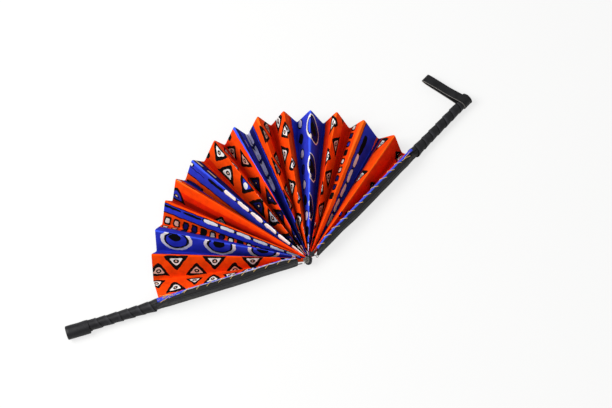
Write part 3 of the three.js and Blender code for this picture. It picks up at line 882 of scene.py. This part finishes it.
def guardPiece(sideName):
    side, plan = sides[sideName], guardCover
    inner, outer = side["offset"], side["offset"] + coverThickness
    start, neck = nose["start"], plan["neck"]
    bm = bmesh.new()
    addBox(bm, (start, inner, 0), (plan["end"], outer, coverHeight))
    outerEnd = [polygon for polygon in bm.faces if polygon.normal.x > 0.9]
    made = bmesh.ops.extrude_face_region(bm, geom=outerEnd)["geom"]
    bmesh.ops.delete(bm, geom=outerEnd, context="FACES_ONLY")
    for vert in (item for item in made if isinstance(item, bmesh.types.BMVert)):
        vert.co.x = neck
        vert.co.z = plan["neckHigh"] if vert.co.z > coverHeight / 2 else plan["neckLow"]
    bm.normal_update()
    noseEdges = [edge for edge in bm.edges if all(vert.co.x < start + 0.1 for vert in edge.verts)]
    noseEdges = [edge for edge in noseEdges if abs(edge.verts[0].co.y - edge.verts[1].co.y) > 1]
    roundEdges(bm, noseEdges, plan["noseRounding"], 4)
    bm.normal_update()
    sharp = [edge for edge in bm.edges if len(edge.link_faces) == 2 and edge.calc_face_angle() > 0.7]
    roundEdges(bm, sharp, plan["edgeRounding"], 3)
    low, high = zip(plan["flapAlong"], (outer - plan["flapLift"], outer + plan["flapLift"]), plan["flapUp"])
    flap = addBox(bm, low, high)
    for polygon in {polygon for vert in flap for polygon in vert.link_faces}:
        polygon.material_index = 1 if polygon.normal.z > 0.5 else 0
    roundEdges(bm, list({edge for vert in flap for edge in vert.link_edges}), plan["flapRounding"], 2)
    for i in range(1, plan["cuts"]):
        along = start + (neck - start) * i / plan["cuts"]
        geometry = bm.verts[:] + bm.edges[:] + bm.faces[:]
        bmesh.ops.bisect_plane(bm, geom=geometry, plane_co=(along, 0, 0), plane_no=(1, 0, 0))
    proudFrom, proudTo = plan["proudAlong"]
    for vert in bm.verts:
        vert.co.y += noseShift(vert.co.x) * (outer - vert.co.y) / coverThickness
        growth = min(1, max(0, (vert.co.x - proudFrom) / (proudTo - proudFrom)))
        vert.co.y += plan["proud"] * growth * (vert.co.y - inner) / coverThickness
        wave = noise.noise(vert.co * plan["dentScale"] + Vector((side["turn"] * 9, 0, 0)))
        fine = noise.noise(vert.co * plan["fineScale"])
        vert.co.y += (wave + plan["fineShare"] * fine) * plan["dent"]
        if vert.co.z > 1.5:
            vert.co.z += wave * plan["dent"]
    name, leathers = sideName + "_guard_leather", [coverLeather, cutLeather]
    stickPiece(name, bm, sideName, leathers, "cover_leather", sideName + "_guard_cover")


# Handles: a leather strip wound in overlapping turns, over a collar that takes in the end of the guard
handleStrip = {
    "start": 163.5,
    "end": {"left": 265, "right": 260.3},
    "pitch": 11.6,
    "width": 14.5,
    "thickness": 0.6,
    "step": 0.68,  # how far the strip sinks over one pitch, under the turn before
    "lip": [(-0.1, -0.3), (0.15, 0)],
    "stops": (1.1, 2.9, 5.8, 8.7, 10.1, 11.1, 12.4),
    "stepsPerTurn": 30,
    "radius": 5.85,
    "axisHeight": 7.2,
    "roundFrom": 171,
    "flatTo": 163,
    "flatHalf": (4.3, 8.9),
    "flatLift": 1.75,
    "swell": 1.0,  # thicker by the guard
    "swellFrom": 170,
    "swellFade": 12.5,
    "endSwell": {"left": 1.0, "right": 0},  # and where the left one goes into its end leather
    "endSwellLength": 18,
    "endSwellFade": 10,
    "dent": 0.16,
    "wander": 1.7,
}
collar = {"end": 182, "inset": 0.6, "under": 0.75, "mouth": 0.25, "stations": 12, "around": 32}


def handleAxis(side):
    return Vector((0, side["offset"] + coverThickness / 2, handleStrip["axisHeight"]))


def handlePoint(axis, along, angle, extra):
    # the guard's flat end section near it, a round handle further on
    plan, radius = handleStrip, handleStrip["radius"]
    share = min(1, max(0, (plan["roundFrom"] - along) / (plan["roundFrom"] - plan["flatTo"])))
    share = share * share * (3 - 2 * share)
    if share:
        a, b = (radius + (half - radius) * share for half in plan["flatHalf"])
        power = 2 + 3 * share
        reach = (abs(math.cos(angle)) / a) ** power + (abs(math.sin(angle)) / b) ** power
        radius = reach ** (-1 / power)
    radius += extra
    up = radius * math.sin(angle) + plan["flatLift"] * share
    return axis + Vector((along, radius * math.cos(angle), up))


def addCollar(bm, axis, stripLayer):
    start = handleStrip["start"]
    ring = bmesh.ops.create_circle(bm, segments=collar["around"], radius=1, cap_ends=False)["verts"]
    for vert in ring:
        vert[stripLayer] = 0.5
    angles = {vert: math.atan2(vert.co.y, vert.co.x) for vert in ring}
    for i in range(collar["stations"] + 1):
        along = start - collar["inset"] + (collar["end"] - start) * i / collar["stations"]
        if i:
            before = [(vert.co.copy(), angles[vert]) for vert in ring]
            ring = extrudeRing(bm, ring)[0]
            for vert in ring:
                angles[vert] = min(((place - vert.co).length, angle) for place, angle in before)[1]
        for vert in ring:
            vert.co = handlePoint(axis, along, angles[vert], -collar["under" if i else "mouth"])
        if i in (0, collar["stations"]):
            bmesh.ops.edgeloop_fill(bm, edges=ringEdges(ring))


def handlePiece(sideName):
    side, plan = sides[sideName], handleStrip
    axis, width, thickness = handleAxis(side), plan["width"], plan["thickness"]
    bm = bmesh.new()
    stripLayer = bm.verts.layers.float.new("strip")
    fall = plan["step"] / plan["pitch"]
    outline = [(0, -thickness), *plan["lip"]] + [(x, -fall * x) for x in (*plan["stops"], width)]
    outline += [(width, -fall * width - thickness / 2), (width / 2, -fall * width / 2 - thickness)]
    verts = [bm.verts.new(axis + Vector((plan["start"] + x, 0, plan["radius"] + r))) for x, r in outline]
    for vert, (x, _) in zip(verts, outline):
        vert[stripLayer] = x / plan["pitch"]  # 0 at the strip's open edge, 1 where the next turn lies on it
    section = bm.faces.new(verts)
    end = plan["end"][sideName]
    turns = (end - plan["start"] - width) / plan["pitch"]
    bmesh.ops.spin(
        bm,
        geom=[section] + section.edges[:] + section.verts[:],
        cent=axis,
        axis=(1, 0, 0),
        dvec=(plan["pitch"] / plan["stepsPerTurn"], 0, 0),
        angle=2 * math.pi * turns,
        steps=round(turns * plan["stepsPerTurn"]),
        use_merge=False,
        use_duplicate=False,
    )
    for vert in bm.verts:
        along = vert.co.x
        out = Vector((0, vert.co.y, vert.co.z)) - axis
        angle = math.atan2(out.z, out.y)
        swell = plan["swell"] * math.exp(-max(0, along - plan["swellFrom"]) / plan["swellFade"])
        toGo = max(0, end - plan["endSwellLength"] - along)
        swell += plan["endSwell"][sideName] * math.exp(-toGo / plan["endSwellFade"])
        dent = plan["dent"] * noise.noise(vert.co * 0.35 + Vector((side["turn"] * 5, 0, 0)))
        shift = plan["wander"] * noise.noise(Vector((along * 0.06, angle * 0.5, side["turn"] * 3.0)))
        extra = out.length - plan["radius"] + swell + dent
        vert.co = handlePoint(axis, along, angle, extra) + Vector((shift, 0, 0))
    addCollar(bm, axis, stripLayer)
    for vert in bm.verts:
        vert.co.z = max(vert.co.z, 0.05)
    stickPiece(
        sideName + "_wound_strip", bm, sideName, [stripLeather], "wrap_leather", sideName + "_handle_wrap"
    )


# Ends of the handles: a band with an open edge on the left one, a thin cap on the right one
endBand = {"end": 268, "length": 25, "radius": 7.1, "wall": 1.05, "lip": 1.2}
endBand |= {"around": 48, "seamStep": 0.6, "wrinkle": 0.3, "seed": 2.0, "spread": 1.12, "shift": 0.7}
endCap = {"end": 262, "length": 2.6, "radius": 7.15}
endCap |= {"around": 40, "seamStep": 0.3, "wrinkle": 0.45, "seed": 7.0, "spread": 1, "shift": 0}


def endPiece(sideName, plan, profile, node):
    # (along, radius) pairs turned round the handle; the seam is where the spiral closes on itself
    axis = handleAxis(sides[sideName])
    bm = bmesh.new()
    points = [axis + Vector((along, 0, radius)) for along, radius in profile]
    spinProfile(bm, points, axis, (1, 0, 0), plan["around"])
    for vert in bm.verts:
        out = Vector((0, vert.co.y, vert.co.z)) - axis
        if out.length < 0.01:
            continue
        turn = (math.atan2(out.z, out.y) / (2 * math.pi) + 0.35) % 1
        y, z = 1.4 * math.cos(turn * 2 * math.pi), 1.4 * math.sin(turn * 2 * math.pi)
        crease = noise.noise(Vector((vert.co.x * 0.12, y, z + plan["seed"])))
        grow = 1 + (plan["wrinkle"] * crease - plan["seamStep"] * turn) / out.length
        vert.co.y = axis.y + out.y * grow * plan["spread"] + plan["shift"]
        vert.co.z = max(0.02, axis.z + out.z * grow)
    stickPiece(sideName + "_end_leather", bm, sideName, [wrapLeather], "wrap_leather", node)


def endPieces():
    plan = endBand
    end, start, radius = plan["end"], plan["end"] - plan["length"], plan["radius"]
    inside, bottom = radius - plan["wall"], end - plan["lip"]
    profile = [(bottom, 0), (bottom, inside), (start, inside), (start - 0.05, radius - 0.5)]
    profile += [(start + 0.35 + (plan["length"] - 1.4) * k / 8, radius) for k in range(9)]
    profile += [(end - 0.35, radius - 0.35), (end, radius - 1.2), (end, 0)]
    endPiece("left", plan, profile, "left_end_band")
    plan = endCap
    end, start, radius = plan["end"], plan["end"] - plan["length"], plan["radius"]
    profile = [(start, 0), (start, radius - 1.4), (start + 0.1, radius - 0.5), (start + 0.6, radius)]
    profile += [(end - 0.9, radius - 0.15), (end - 0.25, radius - 1.1), (end, radius - 2.6)]
    profile += [(end - 0.2, 2), (end - 0.5, 0)]
    endPiece("right", plan, profile, "right_end_cap")


# Closure loop: one strap laid round the end of the right handle and flat on itself towards the leaf
closureStrap = {
    "width": 9.6,
    "columns": 6,
    "tipWidth": 10.4,
    "waist": 0.05,
    "tipSway": -6.5,
    "ripple": 0.35,
    "centreAlong": 254.6,
    "thickness": 1.15,
    "rounding": 0.18,
    "round": [(0, 6.62), (4.7, 4.7), (6.62, 0), (4.7, -4.7), (0, -6.5), (-5.2, -6.0)],
    "outward": [(-14, -5.5), (-27, -5.6), (-40, -5.3), (-48.8, -4.3), (-52.2, -2.1)],
    "back": [(-49.8, 0.4), (-42, 1.6), (-31, 2.1), (-19, 3.1), (-9, 4.9)],
}


def strapPiece():
    plan, axis = closureStrap, handleAxis(sides["right"])
    points = plan["round"] + plan["outward"] + plan["back"]
    route = smoothRoute([(0, y, z) for y, z in points], 7, closed=True)
    bm = bmesh.new()
    ring = [bm.verts.new(point) for point in route]
    for a, b in zip(ring, ring[1:] + ring[:1]):
        bm.edges.new((a, b))
    for _ in range(plan["columns"]):
        ring = extrudeRing(bm, ring)[0]
        bmesh.ops.translate(bm, vec=(plan["width"] / plan["columns"], 0, 0), verts=ring)
    bmesh.ops.recalc_face_normals(bm, faces=bm.faces[:])
    bmesh.ops.solidify(bm, geom=bm.faces[:], thickness=plan["thickness"])
    for polygon in bm.faces:
        polygon.material_index = 1 if abs(polygon.normal.x) > 0.7 else 0
    pairs = {edge: sorted(polygon.material_index for polygon in edge.link_faces) for edge in bm.edges}
    roundEdges(bm, [edge for edge, pair in pairs.items() if pair == [0, 1]], plan["rounding"], 2)
    length = -min(point.y for point in route)
    for vert in bm.verts:
        reach = max(0, -vert.co.y) / length
        across = vert.co.x - plan["width"] / 2
        waist = plan["waist"] * math.sin(math.pi * reach)
        widening = 1 + (plan["tipWidth"] / plan["width"] - 1) * reach - waist
        ripple = plan["ripple"] * noise.noise(Vector((vert.co.y * 0.1, across * 0.15, 3.0)))
        vert.co.x = plan["centreAlong"] + across * widening + plan["tipSway"] * reach
        vert.co.y += axis.y
        vert.co.z = max(0.03, vert.co.z + axis.z + ripple * min(1, reach * 3))
    leathers = [loopLeather, rawEdge]
    stickPiece("closure_strap", bm, "right", leathers, "loop_leather", "closure_loop", body="closure_loop")


# Hems: the leaf's last edge turned over the top of each guard and sewn down with slanted stitches
hem = {
    "section": [(-1.0, 18.4), (-0.9, 19.8), (-0.4, 20.6), (0.3, 20.75), (1.0, 20.5), (1.35, 20.0)],
    "spread": {"left": 0.6, "right": 1},
    "thickness": 0.4,
    "rows": 70,
    "wave": 0.56,
    "rise": 0.25,
    "start": {"left": 14, "right": 13},
    "end": 167,
    "patchLength": {"left": 31, "right": 22},  # the cloth widens towards the handle
    "patchWidth": {"left": 3.6, "right": 0.8},
    "patchLift": {"left": 0.9, "right": 0.54},
}


def hemPiece(sideName):
    side, plan = sides[sideName], hem
    section = smoothRoute([(0, y, z) for y, z in plan["section"]], 2)
    columns, rows = len(section) - 1, plan["rows"]
    bm = bmesh.new()
    uvLayer = bm.loops.layers.uv.new("print")
    start, end = plan["start"][sideName], plan["end"]
    place = {}
    for vert, column, row, under in clothVerts(bm, columns, rows):
        part, along = column / columns, start + (end - start) * row / rows
        patch = max(0, 1 - (end - along) / plan["patchLength"][sideName]) ** 0.6
        wave = noise.noise(Vector((along * 0.22, part, 1.5 * side["turn"])))
        rise = noise.noise(Vector((along * 0.3, part * 2, 8)))
        outward = (section[column].y + 1) * plan["spread"][sideName] - 1
        outward += (plan["patchWidth"][sideName] * patch + plan["wave"] * wave) * part
        up = section[column].z + plan["rise"] * rise
        up += plan["patchLift"][sideName] * patch * math.sin(math.pi * part)
        if under:
            fold = min(1, part * 3)
            up -= plan["thickness"] * (0.4 + 0.6 * fold)
            outward += plan["thickness"] * (1 - fold)
        vert.co = (along, side["offset"] + noseShift(along) + outward, up)
        place[vert] = (part * (1 - 0.6 * patch), along)
    closeCloth(bm, uvLayer, place)
    stickPiece(sideName + "_hem", bm, sideName, [hemCloth[sideName]], "printed_cotton")


stitches = {
    "radius": {"left": 0.25, "right": 0.36},
    "first": 15,
    "last": 154,
    "spacing": 12.6,
    "spacingPlay": 1.2,
    "lean": 7.4,
    "leanPlay": 0.8,
    "endPlay": 0.2,
    "seed": 5,
    # shares of the lean, with mm outward and up
    "down": [(0, -1.1, 18.2), (0.12, -1.35, 19.8), (0.28, -0.6, 21.0), (0.52, 0.5, 21.2)],
    "end": [(0.78, 1.6, 20.75), (1, 2.5, 20.25), (1.02, 2.7, 19.6)],
}


def stitchPiece(sideName):
    side, plan = sides[sideName], stitches
    rng = random.Random(plan["seed"] + side["turn"])
    bm = bmesh.new()
    along = plan["first"]
    while along < plan["last"]:
        lean = plan["lean"] + rng.uniform(-1, 1) * plan["leanPlay"]
        base = side["offset"] + noseShift(along + lean / 2)
        points = [(along + share * lean, base + out, up) for share, out, up in plan["down"]]
        base += rng.uniform(-1, 1) * plan["endPlay"]
        points += [(along + share * lean, base + out, up) for share, out, up in plan["end"]]
        sweepThread(bm, smoothRoute(points, 3), plan["radius"][sideName], 5)
        along += plan["spacing"] + rng.uniform(-1, 1) * plan["spacingPlay"]
    stickPiece(sideName + "_hem_stitches", bm, sideName, [paleThread], "thread")


# Frayed yarns where the hem ends at each handle, each a short walk over the guard's top
frayedYarns = {
    "count": {"left": 5, "right": 2},
    "radius": 0.26,
    "along": (148, 158),
    "outward": (-0.5, 2.6),
    "outmost": 5.6,
    "up": 21.4,
    "curl": 0.5,
    "lift": 0.15,
    "heading": (-0.5, 0.9),
    "step": (1.4, 2.8),
    "sway": (-0.5, 0.6),
    "points": 6,
    "seed": 3,
}


def yarnPiece(sideName):
    side, plan = sides[sideName], frayedYarns
    rng = random.Random(plan["seed"] + 2 * side["turn"])
    bm = bmesh.new()
    for _ in range(plan["count"][sideName]):
        along = rng.uniform(*plan["along"])
        outward = rng.uniform(*plan["outward"])
        heading = rng.uniform(*plan["heading"])
        points = []
        for k in range(plan["points"]):
            up = plan["up"] + plan["curl"] * math.sin(k * 1.3) + plan["lift"] * k * rng.random()
            points.append((along, side["offset"] + outward, up))
            along += rng.uniform(*plan["step"])
            outward = min(plan["outmost"], outward + heading + rng.uniform(*plan["sway"]))
        sweepThread(bm, smoothRoute(points, 3), plan["radius"], 5)
    stickPiece(sideName + "_frayed_yarns", bm, sideName, [yellowYarn], "thread")


# Lashing: one thread wound upright through the folds, then drawn over the top, with a knot for each side
lashingThread = {
    "radius": 0.48,
    "windRadius": 3.35,
    "play": 0.15,
    "bottom": 0.5,
    "top": 10.4,
    "turns": 10,
    "stepsPerTurn": 22,
    "domeTurns": 3,
    "domeHeight": 1.0,
    "domeHole": 0.3,
    "crossings": 5,
    "crossingFrom": 12,
    "crossingReach": 3.9,
    "crossingHeight": 11.9,
    "crossingSide": 0.7,
    "crossingLift": 0.12,
    "crossingDrops": {-1: 4, -0.96: 1.8, -0.6: 0.35, 0: 0, 0.6: 0.35, 0.96: 1.8, 1: 4},
    "core": [(0, 0.0), (3.0, 0.0), (3.0, 10.3), (1.6, 11.2), (0, 11.3)],
}


def aroundPivot(reach, angle, height):
    return Vector((reach * math.cos(angle), reach * math.sin(angle), height))


def lashingPiece():
    plan, wind = lashingThread, lashingThread["windRadius"]
    bm = bmesh.new()
    route = []
    turning = 2 * math.pi / plan["stepsPerTurn"]
    steps = plan["turns"] * plan["stepsPerTurn"]
    for i in range(steps + 1):
        height = plan["bottom"] + (plan["top"] - plan["bottom"]) * i / steps
        play = plan["play"] * noise.noise(Vector((i * turning * 0.7, height, 0)))
        route.append(aroundPivot(wind + play, i * turning, height))
    domeSteps = plan["domeTurns"] * plan["stepsPerTurn"]
    for i in range(1, domeSteps):
        share = i / domeSteps
        height = plan["top"] + plan["domeHeight"] * math.sin(share * math.pi / 2)
        route.append(aroundPivot(wind * (1 - share) + plan["domeHole"], (steps + i) * turning, height))
    sweepThread(bm, route, plan["radius"])
    for k in range(plan["crossings"]):
        across = aroundPivot(1, math.radians(plan["crossingFrom"] + 180 * k / plan["crossings"]), 0)
        aside = Vector((-across.y, across.x, 0)) * plan["crossingSide"] * (k % 3 - 1)
        points = []
        for share, drop in plan["crossingDrops"].items():
            point = across * (share * plan["crossingReach"]) + aside * (1 - share * share)
            point.z = plan["crossingHeight"] - drop + (0 if share else plan["crossingLift"] * k)
            points.append(point)
        sweepThread(bm, smoothRoute(points, 4), plan["radius"])
    spinProfile(bm, [(radius, 0, height) for radius, height in plan["core"]], (0, 0, 0), (0, 0, 1), 24)
    pivotPiece("lashing_thread", bm, darkThread, "lashing")


knotThread = {"radius": 0.46, "steps": 72, "lobes": 0.5, "rise": 0.55, "tailRadius": 0.368}
knots = {
    "left": {"centre": (-3.0, -0.7, 13.6), "size": 1.95, "spin": 0.4, "tail": 3.4, "thread": greyThread},
    "right": {"centre": (5.0, 1.8, 13.9), "size": 1.65, "spin": 1.3, "tail": 3.0, "thread": darkThread},
}


def knotPiece(sideName):
    # a trefoil of doubled thread drawn tight, with two short tails
    knot, plan = knots[sideName], knotThread
    centre, size, radius = Vector(knot["centre"]), knot["size"], plan["radius"]
    bm = bmesh.new()
    for offset in (-0.95 * radius, 0.95 * radius):
        route = []
        for i in range(plan["steps"] + 1):
            t = i / plan["steps"] * 2 * math.pi
            reach = size * (1 + plan["lobes"] * math.cos(3 * t)) + offset
            height = plan["rise"] * size * math.sin(3 * t)
            route.append(centre + aroundPivot(reach, 2 * t + knot["spin"], height))
        sweepThread(bm, route, radius, 8)
    for k in (0, 1):
        away = aroundPivot(1, knot["spin"] * 3 + 2.4 * k, 0)
        rise = Vector((0, 0, 0.5 - 0.8 * k))
        tail = [centre + away * 1.2, centre + away * (1 + knot["tail"] / 2) + rise]
        tail.append(centre + away * (1 + knot["tail"]))
        sweepThread(bm, smoothRoute(tail, 4), plan["tailRadius"])
    pivotPiece(sideName + "_thread_knot", bm, knot["thread"], sideName + "_knot")


# The end of the lashing thread, left long, which curls out from under the right knot
looseEnd = {
    "radius": 0.36,
    "out": [(3.9, 0.4, 12.6), (6.2, -0.9, 12.9), (8.4, -1.3, 12.6), (10.2, -2.3, 12.3)],
    "curl": [(9.8, -4.0, 12.2), (8.1, -3.9, 12.6), (8.2, -2.2, 13.0), (9.9, -1.2, 13.1)],
}


def loosePiece():
    bm = bmesh.new()
    sweepThread(bm, smoothRoute(looseEnd["out"] + looseEnd["curl"], 5), looseEnd["radius"])
    pivotPiece("loose_thread_end", bm, greyThread)


for sideName in sides:
    for make in (guardPiece, handlePiece, hemPiece, stitchPiece, yarnPiece, knotPiece):
        make(sideName)
loosePiece()
endPieces()
strapPiece()
lashingPiece()
print("leather and thread made")

# Floor and light. The camera sees the paper lifted to white, so that only a faint shadow shows.
floorSettings = {"size": 4.0, "colour": "F4F4F2", "lifted": 0.72}
bm = bmesh.new()
bmesh.ops.create_grid(bm, x_segments=1, y_segments=1, size=floorSettings["size"] / 2)
floorMaterial, tree, shader = newMaterial("studio_paper")
connect(shader, {"Base Color": linear(floorSettings["colour"])})
connect(shader, {"Roughness": 0.9, "Specular IOR Level": 0.1})
rays = addNode(tree, "LightPath")
lift = addNode(tree, "Math", {0: rays, 1: floorSettings["lifted"]}, operation="MULTIPLY")
white = addNode(tree, "Emission", {"Color": (1, 1, 1, 1), "Strength": 1.0})
paper = addNode(tree, "MixShader", {0: lift, 1: shader, 2: white})
connect(tree.get_output_node("ALL"), {"Surface": paper})
newPiece("floor", bm, [floorMaterial], smooth=False)

lightSettings = {"power": 21.5, "size": 0.9, "azimuth": 146, "rise": 1.2, "distance": 1.6}
worldLevel = 0.5
world = bpy.data.worlds.new("studio")
world.use_nodes = True
tree = world.node_tree
tree.nodes.clear()
rays = addNode(tree, "LightPath")
straight = {0: rays.outputs["Is Camera Ray"], 1: rays.outputs["Is Transmission Ray"]}
seen = addNode(tree, "Math", straight, operation="MAXIMUM")
level = addNode(tree, "MapRange", {0: seen, 3: worldLevel, 4: 1.0})
sky = addNode(tree, "Background", {"Color": (1, 1, 1, 1), "Strength": level})
addNode(tree, "OutputWorld", {0: sky})
bpy.context.scene.world = world

keyData = bpy.data.lights.new("key", "AREA")
keyData.energy = lightSettings["power"]
keyData.shape = "SQUARE"
keyData.size = lightSettings["size"]
key = addObject("key", keyData)
azimuth = math.radians(lightSettings["azimuth"])
keyDirection = Vector((math.cos(azimuth), math.sin(azimuth), lightSettings["rise"])).normalized()
key.location = keyDirection * lightSettings["distance"]
key.rotation_euler = (-keyDirection).to_track_quat("-Z", "Y").to_euler()
print("floor and light made")

bpy.context.scene.view_settings.view_transform = "Standard"

print("scene ready")
